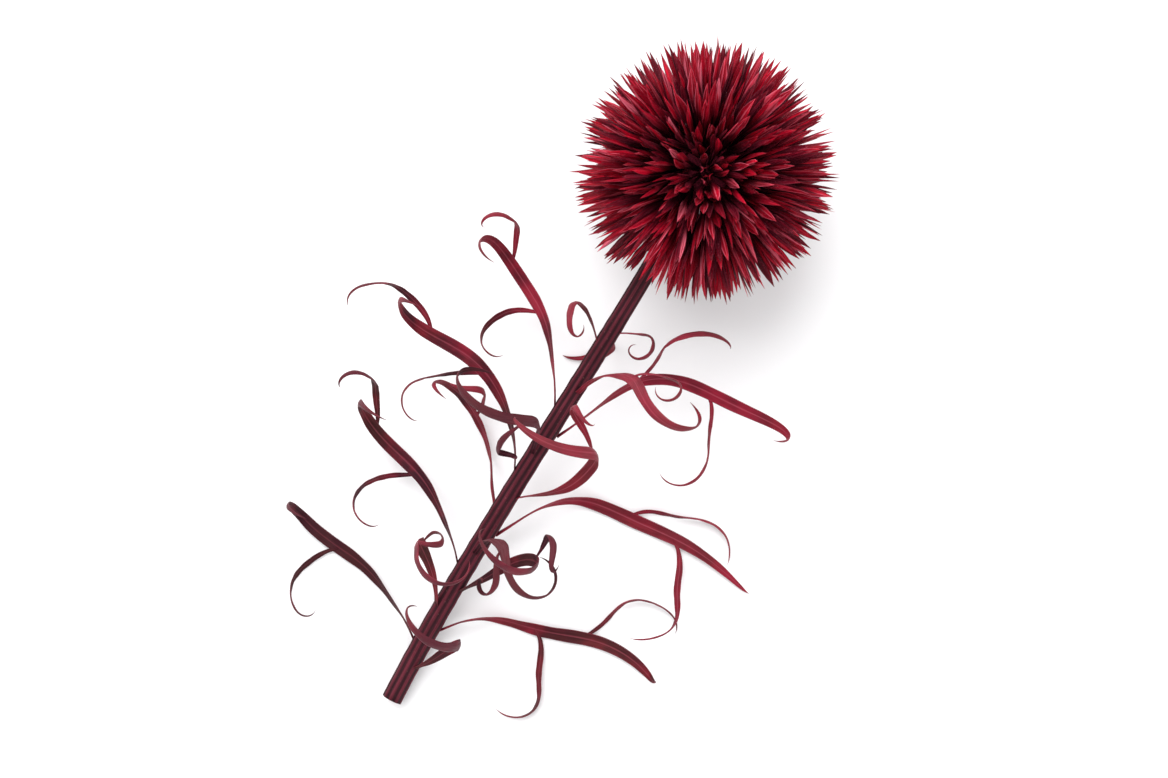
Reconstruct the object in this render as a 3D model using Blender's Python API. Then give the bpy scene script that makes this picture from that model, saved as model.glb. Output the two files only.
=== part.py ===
"""Globe thistle flower, picked and laid on its side.

One ribbed stem ends in the round receptacle that it grew with. Florets, each a tuft of
spear-shaped bracts on a small base, cover the receptacle, and ribbon leaves leave the stem.
The flower lies along Y with its head towards +Y, and touches the surface z = 0 with its
lowest bract tips, its cut end and its lowest leaves. All lengths are in metres.
"""

import math
import random

import bmesh
import bpy
from mathutils import Matrix, Vector

# Head
HEAD_RADIUS = 0.0225  # to the tips of the longest bracts
HEAD_CENTRE = Vector((0.0001, 0.0411, 0.0210))  # a little low, so that the lowest tips press flat
RECEPTACLE_RADIUS = 0.0061
GAP = 0.0003  # between pieces that touch

# Florets
FLORETS = 40
FLORET_PLACES = 42  # the last two places of the spiral are where the stem comes in
PAD_HEIGHT = 0.0019
PAD_SPREAD = math.radians(12.0)  # seen from the head's centre
PAD_MIDDLE = math.radians(4.5)
OUTER_BRACTS = 8
BRACT_MARGIN = 0.00013  # bare rim round each bract's foot
BRACT_WIDEST = 0.62  # share of the bract's length
BRACT_WIDTH = 0.0017
BRACT_THICKNESS = 0.0008
BRACT_LEAN = math.radians(10.6)  # outer bracts at their widest
TIP_LEAN = math.radians(11.5)  # outer bracts at their tips
SHORTEST_BRACT = 0.90  # share of the head's radius
GOLDEN_ANGLE = math.pi * (3 - math.sqrt(5))

# Stem
STEM_RUN = 0.104  # from the head's centre to the cut end, seen from above
STEM_TOP_RADIUS = 0.00145
STEM_CUT_RADIUS = 0.00180
STEM_RIBS = 8
RIB_DEPTH = 0.00016
STEM_RINGS = 15
BALL_RINGS = 7

# Leaves
LEAF_SPANS = 18
LOBE_SPANS = 9
LEAF_FINE_STEPS = 5  # steps walked along a leaf or lobe in each span
LEAF_THICKNESS = 0.00036
LEAF_WIDEST = 0.42  # share of the leaf's length
LEAF_WAVER = 110  # degrees, how strongly a ribbon wavers along its length
LOBE_LENGTH = 0.42  # share of its leaf's length
LOBE_WIDTH = 0.60  # share of its leaf's width
LOBE_ANGLE = math.radians(48)
SURFACE_EASE = 0.0006  # how softly a leaf comes down on the surface

# One line for each leaf: place along the stem from the head's centre (0) to the cut end (1),
# side of the stem (degrees round it from the top, +X side positive), length and width (mm),
# then its rise from the stem, bend, end curl, sideways sweep and twist (degrees), and its side
# lobes: the span of the leaf that each one leaves from, negative on the leaf's left.
LEAVES = (
    (0.275, 75, 16, 1.3, 55, 110, 260, 20, -60, ()),
    (0.300, -65, 20, 1.5, 45, 120, 240, -30, 70, ()),
    (0.340, 165, 26, 1.6, 50, 90, 120, 20, 60, ()),
    (0.380, 25, 40, 2.1, 25, 80, 190, 80, 130, (-6,)),
    (0.420, -95, 46, 2.2, 30, 60, 160, 70, 120, (6, -10)),
    (0.460, 105, 54, 2.5, 26, 50, 110, -70, -130, (5, -9)),
    (0.500, -20, 38, 2.1, 30, 100, 200, -70, -150, (-6,)),
    (0.540, -85, 50, 2.5, 26, 40, 120, 90, 150, (6, -10)),
    (0.580, 70, 46, 2.3, 45, 60, 190, 60, -140, (7,)),
    (0.615, -130, 36, 2.1, 55, 50, 140, -60, 120, (-8,)),
    (0.650, 112, 56, 2.5, 30, 40, 70, -90, -130, (8, -11)),
    (0.690, 5, 36, 2.1, 32, 110, 220, 80, 150, (6,)),
    (0.725, -88, 48, 2.4, 40, 50, 160, 60, 140, (6, -10)),
    (0.760, 50, 42, 2.2, 36, 70, 200, -90, -150, (7,)),
    (0.800, -45, 40, 2.2, 35, 90, 180, 80, 150, (-6,)),
    (0.840, 98, 50, 2.4, 38, 40, 110, -60, -120, (-6, 9)),
    (0.880, -98, 46, 2.3, 52, 50, 160, 40, 130, (8,)),
    (0.920, 40, 34, 2.1, 45, 80, 200, -60, -160, ()),
)


def material(name, colour, roughness):
    """A plain dyed plant surface."""
    made = bpy.data.materials.new(name)
    made.use_nodes = True
    shader = made.node_tree.nodes["Principled BSDF"]
    shader.inputs["Base Color"].default_value = (*colour, 1.0)
    shader.inputs["Roughness"].default_value = roughness
    shader.inputs["Metallic"].default_value = 0.0
    return made


def finish(name, mesh_in_progress, finish_material):
    """Turns a bmesh into a named object with outward faces."""
    bmesh.ops.recalc_face_normals(mesh_in_progress, faces=mesh_in_progress.faces)
    mesh = bpy.data.meshes.new(name)
    mesh_in_progress.to_mesh(mesh)
    mesh_in_progress.free()
    mesh.materials.append(finish_material)
    made = bpy.data.objects.new(name, mesh)
    bpy.context.scene.collection.objects.link(made)
    return made


def stem_corners():
    """The four control points of the stem's line, from the head's centre to the cut end."""
    drop = HEAD_CENTRE.z - STEM_CUT_RADIUS
    end = Vector((HEAD_CENTRE.x - 0.03 * STEM_RUN, HEAD_CENTRE.y - STEM_RUN, STEM_CUT_RADIUS))
    upper = HEAD_CENTRE + Vector((0, -0.34 * STEM_RUN, -0.35 * drop))
    lower = end + Vector((-0.01 * STEM_RUN, 0.30 * STEM_RUN, 0.06 * drop))
    return HEAD_CENTRE, upper, lower, end


def stem_point(t):
    """Centre and downward direction of the stem at t, from 0 at the head to 1 at the cut."""
    a, b, c, d = stem_corners()
    u = 1 - t
    place = a * u**3 + b * (3 * u * u * t) + c * (3 * u * t * t) + d * t**3
    direction = (b - a) * (u * u) + (c - b) * (2 * u * t) + (d - c) * (t * t)
    return place, direction.normalized()


def stem_radius(t):
    return STEM_TOP_RADIUS + (STEM_CUT_RADIUS - STEM_TOP_RADIUS) * t


def across_and_up(direction):
    """Two directions square to a line: one level, one as near upwards as it can be."""
    across = direction.cross(Vector((0, 0, 1))).normalized()
    return across, across.cross(direction).normalized()


def skin(mesh, low, high, open_sides=()):
    """Faces between two loops, apart from the sides that stay open."""
    for i in range(len(low)):
        if i not in open_sides:
            j = (i + 1) % len(low)
            mesh.faces.new((low[i], low[j], high[j], high[i]))


def draw_out(mesh, loops, tip):
    """Skins a row of loops and closes the last one to a tip."""
    for low, high in zip(loops, loops[1:]):
        skin(mesh, low, high)
    point = mesh.verts.new(tip)
    for i, corner in enumerate(loops[-1]):
        mesh.faces.new((corner, loops[-1][i - 1], point))


def ribbed_ring(mesh, centre, direction, radius, rib_depth):
    """A ring of points whose every second one lies in the groove between two ribs."""
    across, up = across_and_up(direction)
    ring = []
    for i in range(2 * STEM_RIBS):
        turn = math.pi * i / STEM_RIBS
        reach = radius - rib_depth * (i % 2)
        ring.append(mesh.verts.new(centre + reach * (math.cos(turn) * up + math.sin(turn) * across)))
    return ring


def build_stem(finish_material):
    """The ribbed stem and the round receptacle that it grew with, as one piece."""
    mesh = bmesh.new()
    first_direction = stem_point(0)[1]
    start = 1.30 * RECEPTACLE_RADIUS / STEM_RUN
    rings = []
    for i in range(STEM_RINGS):
        t = 1 - (1 - start) * i / (STEM_RINGS - 1)
        centre, direction = stem_point(t)
        rings.append(ribbed_ring(mesh, centre, direction, stem_radius(t), RIB_DEPTH))
    neck = math.asin(STEM_TOP_RADIUS / RECEPTACLE_RADIUS)
    for i in range(BALL_RINGS):
        polar = neck + (math.pi - neck) * i / BALL_RINGS
        centre = HEAD_CENTRE + first_direction * (RECEPTACLE_RADIUS * math.cos(polar))
        radius = RECEPTACLE_RADIUS * math.sin(polar)
        rings.append(ribbed_ring(mesh, centre, first_direction, radius, RIB_DEPTH * (i == 0)))
    mesh.faces.new(rings[0])
    draw_out(mesh, rings, HEAD_CENTRE - first_direction * RECEPTACLE_RADIUS)
    return finish("stem", mesh, finish_material)


def head_point(floret, distance, lean, turn):
    """A point at a distance from the head's centre, leaning off a floret's middle line."""
    middle, side, other = floret
    outward = math.cos(turn) * side + math.sin(turn) * other
    return HEAD_CENTRE + distance * (math.cos(lean) * middle + math.sin(lean) * outward)


def tip_distance(direction, share):
    """How far a bract reaches from the head's centre: no further than the surface below."""
    reach = HEAD_RADIUS * share
    if direction.z < 0:
        reach = min(reach, HEAD_CENTRE.z / -direction.z)
    return reach


def grow_bract(mesh, foot, floret, lean_share, turn, length_share):
    """Draws a bract out of its foot: a stalk, the widest part of the blade, then the point."""
    tip_direction = (head_point(floret, 1, TIP_LEAN * lean_share, turn) - HEAD_CENTRE).normalized()
    reach = tip_distance(tip_direction, length_share)
    tip = HEAD_CENTRE + reach * tip_direction
    foot_distance = (foot.calc_center_median() - HEAD_CENTRE).length
    widest_distance = foot_distance + BRACT_WIDEST * (reach - foot_distance)
    widest = head_point(floret, widest_distance, BRACT_LEAN * lean_share, turn)
    blade = bmesh.ops.extrude_discrete_faces(mesh, faces=[foot])["faces"][0]
    centre = blade.calc_center_median()
    outward = (math.cos(turn) * floret[1] + math.sin(turn) * floret[2]).normalized()
    along = (widest - centre).normalized()
    thin = (outward - outward.dot(along) * along).normalized()
    wide = along.cross(thin)
    span = max(abs((v.co - centre).dot(wide)) for v in blade.verts)
    depth = max(abs((v.co - centre).dot(thin)) for v in blade.verts)
    for v in blade.verts:
        offset = v.co - centre
        v.co = (
            widest
            + wide * (offset.dot(wide) / span * BRACT_WIDTH / 2)
            + thin * (offset.dot(thin) / depth * BRACT_THICKNESS / 2)
        )
    point = bmesh.ops.extrude_discrete_faces(mesh, faces=[blade])["faces"][0]
    bmesh.ops.pointmerge(mesh, verts=list(point.verts), merge_co=tip)


def build_floret(name, middle, spin, lengths, finish_material):
    """A tuft of bracts on one base: one bract in the middle and a ring of them round it."""
    level = middle.orthogonal().normalized()
    side = Matrix.Rotation(spin, 3, middle) @ level
    floret = (middle, side, middle.cross(side))
    mesh = bmesh.new()
    bottom = RECEPTACLE_RADIUS + GAP
    turns = [2 * math.pi * (i + 0.5) / OUTER_BRACTS for i in range(OUTER_BRACTS)]
    loops = [
        [mesh.verts.new(head_point(floret, distance, lean, turn)) for turn in turns]
        for distance, lean in (
            (bottom, PAD_SPREAD),
            (bottom + PAD_HEIGHT, PAD_SPREAD),
            (bottom + PAD_HEIGHT, PAD_MIDDLE),
        )
    ]
    feet = []
    mesh.faces.new(loops[0])
    for i in range(OUTER_BRACTS):
        mesh.faces.new((loops[0][i - 1], loops[0][i], loops[1][i], loops[1][i - 1]))
        feet.append(mesh.faces.new((loops[1][i - 1], loops[1][i], loops[2][i], loops[2][i - 1])))
    feet.append(mesh.faces.new(loops[2]))
    bmesh.ops.recalc_face_normals(mesh, faces=mesh.faces)
    bmesh.ops.inset_individual(mesh, faces=feet, thickness=BRACT_MARGIN)
    for i, foot in enumerate(feet[:-1]):
        grow_bract(mesh, foot, floret, 1.0, 2 * math.pi * i / OUTER_BRACTS, lengths[i])
    grow_bract(mesh, feet[-1], floret, 0.0, 0.0, lengths[-1])
    return finish(name, mesh, finish_material)


def build_florets(finish_material):
    """Florets on a spiral over the receptacle, from the top of the head round to the stem."""
    top = -stem_point(0)[1]
    across = top.orthogonal().normalized()
    other = top.cross(across)
    chance = random.Random(7)
    for i in range(FLORETS):
        height = 1 - (2 * i + 1) / FLORET_PLACES
        ring = math.sqrt(1 - height * height)
        turn = i * GOLDEN_ANGLE
        middle = height * top + ring * (math.cos(turn) * across + math.sin(turn) * other)
        lengths = [chance.uniform(SHORTEST_BRACT, 1.0) for _ in range(OUTER_BRACTS + 1)]
        spin = chance.uniform(0, math.tau)
        build_floret(f"floret_{i + 1:02d}", middle.normalized(), spin, lengths, finish_material)


def leaf_width_share(s):
    """The blade's width along the leaf: narrow at its foot, widest below the middle, fine at its tip."""
    rise = 0.42 + 0.58 * math.sin(0.5 * math.pi * min(1.0, s / LEAF_WIDEST))
    fall = math.cos(0.5 * math.pi * max(0.0, (s - LEAF_WIDEST) / (1 - LEAF_WIDEST))) ** 0.8
    return rise * fall


def above_surface(point, across, half):
    """The point itself, or a higher one where the blade would reach below the surface."""
    lowest = half * abs(across.z) + 0.5 * LEAF_THICKNESS
    gap = point.z - lowest
    height = lowest + 0.5 * (gap + math.hypot(gap, SURFACE_EASE))
    return Vector((point.x, point.y, height))


def walked(start, spans, length, width, bend, curl, sweep, twist, phase):
    """Stations along a ribbon: it bends, sweeps, twists, wavers a little and curls up.

    A station is a point on the ribbon's middle line, its across and face directions, its half
    width there and its heading.
    """
    point, heading, across = start
    steps = spans * LEAF_FINE_STEPS
    stations = []
    for i in range(steps + 1):
        s = i / steps
        face = heading.cross(across).normalized()
        half = 0.5 * width * leaf_width_share(s)
        middle = above_surface(point, across, half)
        stations.append((middle, across.copy(), face, half, heading.copy()))
        waver = LEAF_WAVER * math.cos(11 * s + phase)
        turn_over = (bend + curl * 3 * s * s - waver) / steps
        turn_side = (sweep + waver) / steps
        turn_round = twist * (0.5 + 1.5 * (1 - s) ** 2) / steps
        turn = (
            Matrix.Rotation(math.radians(turn_over), 3, -across)
            @ Matrix.Rotation(math.radians(turn_side), 3, face)
            @ Matrix.Rotation(math.radians(turn_round), 3, heading)
        )
        heading = (turn @ heading).normalized()
        across = (turn @ across).normalized()
        point = point + heading * (length / steps)
    return stations


def leaf_stations(place, side, length, width, rise, bend, curl, sweep, twist, lobes):
    """The stations of a leaf that leaves the stem at that place and side."""
    centre, down = stem_point(place)
    level, up = across_and_up(down)
    side = math.radians(side)
    out = math.cos(side) * up - math.sin(side) * level
    along = -down
    across = out.cross(along)
    heading = Matrix.Rotation(math.radians(rise), 3, along.cross(out)) @ along
    point = centre + out * (stem_radius(place) + GAP + 0.5 * LEAF_THICKNESS)
    start = (point, heading, across)
    return walked(
        start, LEAF_SPANS, length * 0.001, width * 0.001, bend, curl, sweep, twist, 40 * place
    )


def lobe_stations(row, stations, lobe):
    """The stations of a side lobe, which leaves the blade's edge in the middle of a span."""
    place, side, length, width, rise, bend, curl, sweep, twist, lobes = row
    hand = math.copysign(1, lobe)
    point, across, face, half, heading = stations[round((abs(lobe) + 0.5) * LEAF_FINE_STEPS)]
    lean = Matrix.Rotation(hand * LOBE_ANGLE, 3, face)
    start = (point + across * (hand * half * 0.9), lean @ heading, lean @ across)
    return walked(
        start, LOBE_SPANS, length * LOBE_LENGTH * 0.001, width * LOBE_WIDTH * 0.001,
        1.2 * bend, 1.1 * curl, 0.4 * sweep, -0.8 * twist, 40 * place + lobe,
    )


def ribbon_loop(mesh, station, corners):
    """A loop of points round a ribbon. Each corner is its share across and its share through."""
    point, across, face, half, _ = station
    return [
        mesh.verts.new(point + across * (half * wide) + face * (0.5 * LEAF_THICKNESS * deep))
        for wide, deep in corners
    ]


def build_leaf(name, row, finish_material):
    """A ribbon leaf with its side lobes: a thin section swept along it, closed to fine tips."""
    stations = leaf_stations(*row)
    mesh = bmesh.new()
    section = ((1, 0), (0, 1), (-1, 0), (0, -1))
    kept = stations[:: LEAF_FINE_STEPS]
    loops = [ribbon_loop(mesh, station, section) for station in kept[:-1]]
    mesh.faces.new(loops[0])
    lobes = row[-1]
    for k in range(LEAF_SPANS - 1):
        open_sides = {k: (0, 3), -k: (1, 2)}
        skin(mesh, loops[k], loops[k + 1], [side for lobe in lobes for side in open_sides.get(lobe, ())])
    draw_out(mesh, loops[-1:], kept[-1][0])
    for lobe in lobes:
        edge, hand = (0, 1) if lobe > 0 else (2, -1)
        low, high = loops[abs(lobe)], loops[abs(lobe) + 1]
        foot = [low[edge], low[1], high[1], high[edge], high[3], low[3]]
        shares = ((1, 0), (0.5, 1), (-0.5, 1), (-1, 0), (-0.5, -1), (0.5, -1))
        section = [(hand * wide, deep) for wide, deep in shares]
        kept = lobe_stations(row, stations, lobe)[:: LEAF_FINE_STEPS]
        draw_out(mesh, [foot, *(ribbon_loop(mesh, s, section) for s in kept[1:-1])], kept[-1][0])
    return finish(name, mesh, finish_material)


def main():
    for old in list(bpy.data.objects):
        bpy.data.objects.remove(old)
    build_stem(material("stem_skin", (0.055, 0.012, 0.018), 0.62))
    build_florets(material("bract", (0.42, 0.006, 0.022), 0.45))
    leaf_skin = material("leaf_skin", (0.11, 0.012, 0.028), 0.55)
    for i, row in enumerate(LEAVES):
        build_leaf(f"leaf_{i + 1:02d}", row, leaf_skin)


main()
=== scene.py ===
"""Globe thistle flower, picked and laid on its side: the finished surfaces.

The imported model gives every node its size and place. Here each floret becomes a tuft of fine
bract blades and hairs, the stem gets its ribs and its cut end, and the leaves become thin,
twisted ribbons. All lengths are in metres, +Z is up, and the flower lies on z = 0.
"""

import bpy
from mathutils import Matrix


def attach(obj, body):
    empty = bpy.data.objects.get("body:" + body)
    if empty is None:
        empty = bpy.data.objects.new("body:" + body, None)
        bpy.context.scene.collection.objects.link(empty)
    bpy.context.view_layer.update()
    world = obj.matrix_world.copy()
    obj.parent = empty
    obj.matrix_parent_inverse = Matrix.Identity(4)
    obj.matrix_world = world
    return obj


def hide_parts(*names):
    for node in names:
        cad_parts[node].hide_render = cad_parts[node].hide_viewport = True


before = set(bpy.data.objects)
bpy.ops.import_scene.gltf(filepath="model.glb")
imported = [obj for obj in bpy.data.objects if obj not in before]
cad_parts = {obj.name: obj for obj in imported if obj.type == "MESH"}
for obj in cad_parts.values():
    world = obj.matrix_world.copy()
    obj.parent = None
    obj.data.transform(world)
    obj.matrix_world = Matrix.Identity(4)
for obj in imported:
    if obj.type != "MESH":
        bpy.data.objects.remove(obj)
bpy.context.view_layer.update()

import math
import random
from collections import namedtuple

import bmesh
import bpy
from bpy.props import FloatProperty, FloatVectorProperty, IntProperty, PointerProperty
from mathutils import Matrix, Vector

bl_info = {
    "name": "Globe Thistle Flower",
    "version": (1, 0, 0),
    "blender": (4, 5, 0),
    "location": "3D View > Sidebar > Thistle",
    "description": "Builds a globe thistle flower head with its stem and ribbon leaves",
    "category": "Add Mesh",
}

# Driving sizes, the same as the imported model's
HEAD_CENTRE = Vector((0.0001, 0.0411, 0.0210))
HEAD_RADIUS = 0.0225  # to the tips of the longest bracts
RECEPTACLE_RADIUS = 0.0061
FLORETS = 40
FLORET_PLACES = 42  # the last two places of the spiral are where the stem comes in
GOLDEN_ANGLE = math.pi * (3 - math.sqrt(5))
STEM_RUN = 0.104  # from the head's centre to the cut end, seen from above
STEM_TOP_RADIUS = 0.00145
STEM_CUT_RADIUS = 0.00180
LEAF_THICKNESS = 0.00036
LEAF_WIDEST = 0.42  # share of the leaf's length
LEAF_BASE_GAP = 0.0003  # between the stem and a leaf, before its foot is sunk in
LEAF_SPANS = 18
LEAF_WAVER = 110  # degrees, how strongly a ribbon wavers along its length
LOBE_LENGTH = 0.42  # share of its leaf's length
LOBE_WIDTH = 0.60  # share of its leaf's width
LOBE_ANGLE = math.radians(48)
SURFACE_EASE = 0.0006  # how softly a leaf comes down on the surface

# How finely the surfaces are made
STEM_SEGMENTS = 80
LEAF_STEPS = 90
LOBE_STEPS = 45

# One line for each leaf: place along the stem from the head's centre (0) to the cut end (1),
# side of the stem (degrees round it from the top, +X side positive), length and width (mm),
# then its rise from the stem, bend, end curl, sideways sweep and twist (degrees), and its side
# lobes: the span of the leaf that each one leaves from, negative on the leaf's left.
Leaf = namedtuple("Leaf", "place side length width rise bend curl sweep twist lobes")
LEAVES = (
    Leaf(0.275, 75, 16, 1.3, 55, 110, 260, 20, -60, ()),
    Leaf(0.300, -65, 20, 1.5, 45, 120, 240, -30, 70, ()),
    Leaf(0.340, 165, 26, 1.6, 50, 90, 120, 20, 60, ()),
    Leaf(0.380, 25, 40, 2.1, 25, 80, 190, 80, 130, (-6,)),
    Leaf(0.420, -95, 46, 2.2, 30, 60, 160, 70, 120, (6, -10)),
    Leaf(0.460, 105, 54, 2.5, 26, 50, 110, -70, -130, (5, -9)),
    Leaf(0.500, -20, 38, 2.1, 30, 100, 200, -70, -150, (-6,)),
    Leaf(0.540, -85, 50, 2.5, 26, 40, 120, 90, 150, (6, -10)),
    Leaf(0.580, 70, 46, 2.3, 45, 60, 190, 60, -140, (7,)),
    Leaf(0.615, -130, 36, 2.1, 55, 50, 140, -60, 120, (-8,)),
    Leaf(0.650, 112, 56, 2.5, 30, 40, 70, -90, -130, (8, -11)),
    Leaf(0.690, 5, 36, 2.1, 32, 110, 220, 80, 150, (6,)),
    Leaf(0.725, -88, 48, 2.4, 40, 50, 160, 60, 140, (6, -10)),
    Leaf(0.760, 50, 42, 2.2, 36, 70, 200, -90, -150, (7,)),
    Leaf(0.800, -45, 40, 2.2, 35, 90, 180, 80, 150, (-6,)),
    Leaf(0.840, 98, 50, 2.4, 38, 40, 110, -60, -120, (-6, 9)),
    Leaf(0.880, -98, 46, 2.3, 52, 50, 160, 40, 130, (8,)),
    Leaf(0.920, 40, 34, 2.1, 45, 80, 200, -60, -160, ()),
)
MILLIMETRE = 0.001


def colour(name, description, default):
    """A colour that a user can change."""
    return FloatVectorProperty(
        name=name, description=description, subtype="COLOR", size=3, min=0, max=1, default=default
    )


def length(name, description, default):
    """A length in metres that a user can change."""
    return FloatProperty(
        name=name, description=description, default=default, min=0, precision=5, unit="LENGTH"
    )


def share(name, description, default, low=0.0, high=1.0):
    """A plain number that a user can change."""
    return FloatProperty(name=name, description=description, default=default, min=low, max=high)


class ThistleHeadSettings(bpy.types.PropertyGroup):
    """Sizes and colours of the spiky head."""

    bracts: IntProperty(
        name="Bracts", description="Blades over a whole ball, with none left out", default=1480
    )
    clumps: IntProperty(name="Clumps", description="Bunches that the blades lean into", default=260)
    lean: share("Lean", "How far a blade leans into its bunch", 0.30)
    hairs: IntProperty(name="Hairs", description="Fine hairs in each tuft", default=5)
    blade_width: length("Blade width", "Across the widest part of a bract", 0.00142)
    blade_thickness: length("Blade thickness", "Through the middle of a bract", 0.00026)
    hair_width: length("Hair width", "Across a hair", 0.00010)
    short_share: share("Short bracts", "Share of the bracts that stay short", 0.40)
    crimson: colour("Crimson", "Upper part of the bracts", (0.80, 0.003, 0.030))
    wine: colour("Wine", "Middle of the blades", (0.29, 0.002, 0.019))
    dusk: colour("Dusk", "Dark bracts between the bright ones", (0.120, 0.008, 0.022))
    # The foot colour is partly the stalks' own dark colour and partly painted shade deep in the head
    foot: colour("Foot", "Stalks of the bracts, deep in the head", (0.052, 0.006, 0.011))
    # Dusty pink also paints highlights along the edges and keels of the bracts, and painted glints on
    # them
    dusty: colour("Dusty pink", "Papery margins of the bracts", (0.86, 0.20, 0.29))


class ThistleStemSettings(bpy.types.PropertyGroup):
    """Sizes and colours of the stem."""

    ribs: IntProperty(name="Ribs", description="Ribs round the stem", default=9)
    rib_depth: length("Rib depth", "From a rib's top to the groove", 0.00017)
    # The groove and ridge colours paint shade between the ribs and a highlight along their tops
    groove: colour("Groove", "Between the ribs", (0.036, 0.007, 0.012))
    ridge: colour("Ridge", "Along the tops of the ribs", (0.135, 0.019, 0.033))
    pith: colour("Pith", "Middle of the cut end", (0.36, 0.22, 0.18))


class ThistleLeafSettings(bpy.types.PropertyGroup):
    """Sizes and colours of the leaves."""

    thickness: length("Thickness", "Through the middle of a leaf", 0.00026)
    channel: share("Channel", "How far the blade folds along its midrib", 0.22)
    ripple: share("Ripple", "How far the margins wave", 0.06)
    plum: colour("Plum", "Darker leaves", (0.038, 0.005, 0.011))
    maroon: colour("Maroon", "Brighter leaves and leaf middles", (0.24, 0.010, 0.028))
    bronze: colour("Bronze", "Aged patches that kept less dye", (0.080, 0.020, 0.014))
    vein: colour("Vein", "Midrib and margins", (0.36, 0.07, 0.10))


class ThistleStageSettings(bpy.types.PropertyGroup):
    """Floor, light and camera."""

    floor: colour("Floor", "The pale surface", (0.86, 0.86, 0.87))
    sky: share("Sky", "Strength of the even light from all round", 0.92, 0.0, 10.0)
    key: share("Key light", "Main light in watts a square metre", 2.9, 0.0, 20.0)
    fill: share("Fill light", "Fill light in watts a square metre", 0.6, 0.0, 20.0)
    roll: FloatProperty(
        name="Roll", description="Turn of the camera", subtype="ANGLE", default=math.radians(29)
    )
    view_width: length("View width", "What the camera takes in from side to side", 0.198)


# ---------------------------------------------------------------------------- node wiring


class Wiring:
    """Adds nodes to a tree and links them, so that a formula takes few lines."""

    def __init__(self, tree):
        self.tree = tree

    def add(self, kind, values=None, **settings):
        """A new node with its own settings, its inputs fed by name or place."""
        node = self.tree.nodes.new(kind)
        for name, value in settings.items():
            setattr(node, name, value)
        for name, value in (values or {}).items():
            self.feed(find(node.inputs, name), value)
        return node

    def feed(self, socket, value):
        """Links the socket to another one, or gives it a plain value."""
        if isinstance(value, bpy.types.NodeSocket):
            self.tree.links.new(value, socket)
        else:
            socket.default_value = value

    def math(self, operation, *values):
        """The result of an operation on numbers."""
        node = self.add("ShaderNodeMath", operation=operation)
        for socket, value in zip(node.inputs, values):
            self.feed(socket, value)
        return node.outputs[0]

    def times(self, product, *others):
        """The product of all the values."""
        for value in others:
            product = self.math("MULTIPLY", product, value)
        return product

    def vector(self, operation, *values):
        """The result of an operation on vectors."""
        node = self.add("ShaderNodeVectorMath", operation=operation)
        for socket, value in zip(node.inputs, values):
            self.feed(socket, value)
        return node.outputs["Vector"]

    def scaled(self, direction, amount):
        """A vector times a number."""
        node = self.add("ShaderNodeVectorMath", {0: direction, "Scale": amount}, operation="SCALE")
        return node.outputs["Vector"]

    def moved(self, place, direction, amount):
        """The place, moved along a direction by an amount."""
        return self.vector("ADD", place, self.scaled(direction, amount))

    def combined(self, x, y, z=0.0):
        """A vector made of three numbers."""
        return self.add("ShaderNodeCombineXYZ", {"X": x, "Y": y, "Z": z}).outputs[0]

    def parts(self, vector):
        """The X, Y and Z of a vector."""
        return self.add("ShaderNodeSeparateXYZ", {0: vector}).outputs

    def blend(self, factor, low, high, kind="RGBA", way="MIX"):
        """From low to high, as factor goes from 0 to 1."""
        node = self.add("ShaderNodeMix", data_type=kind)
        if kind == "RGBA":
            node.blend_type = way
        self.feed(find(node.inputs, "Factor"), factor)
        self.feed(find(node.inputs, "A"), low)
        self.feed(find(node.inputs, "B"), high)
        return find(node.outputs, "Result")

    def ramp(self, factor, *stops, smooth=False):
        """A colour that goes through the stops, each a place and a colour."""
        node = self.add("ShaderNodeValToRGB", {"Fac": factor})
        elements = node.color_ramp.elements
        while len(elements) < len(stops):
            elements.new(0.5)
        for element, (place, tint) in zip(elements, stops):
            element.position = place
            element.color = (*tint, 1)
        node.color_ramp.interpolation = "EASE" if smooth else "LINEAR"
        return node.outputs["Color"]

    def step(self, value, low, high, to_low=0.0, to_high=1.0):
        """A soft step from to_low to to_high, as value goes from low to high."""
        node = self.add(
            "ShaderNodeMapRange",
            {"Value": value, "From Min": low, "From Max": high, "To Min": to_low, "To Max": to_high},
            interpolation_type="SMOOTHSTEP",
        )
        return node.outputs["Result"]


def find(sockets, name):
    """The socket of that name, or at that place, that the node's present mode uses."""
    if isinstance(name, int):
        return sockets[name]
    return next(s for s in sockets if s.name == name and s.enabled)


def new_group(name, kind, inputs, outputs):
    """A node group with named sockets: its wiring, what it is given and what it puts out."""
    tree = bpy.data.node_groups.new(name, kind)
    for socket_name, socket_type, default in inputs:
        socket = tree.interface.new_socket(
            name=socket_name, in_out="INPUT", socket_type=f"NodeSocket{socket_type}"
        )
        if default is not None:
            socket.default_value = default
    for socket_name, socket_type in outputs:
        tree.interface.new_socket(
            name=socket_name, in_out="OUTPUT", socket_type=f"NodeSocket{socket_type}"
        )
    wiring = Wiring(tree)
    return wiring, wiring.add("NodeGroupInput").outputs, wiring.add("NodeGroupOutput").inputs


def shared(wiring, name, build, values, kind="ShaderNodeGroup"):
    """The outputs of a shared node group, which is built the first time that it is asked for."""
    tree = bpy.data.node_groups.get(name) or build()
    return wiring.add(kind, values, node_tree=tree).outputs


# ------------------------------------------------------------------------ shader groups

TONE_SPREAD = 57.0  # how far apart two tones sit in a pattern, so that no two blades match


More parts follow.
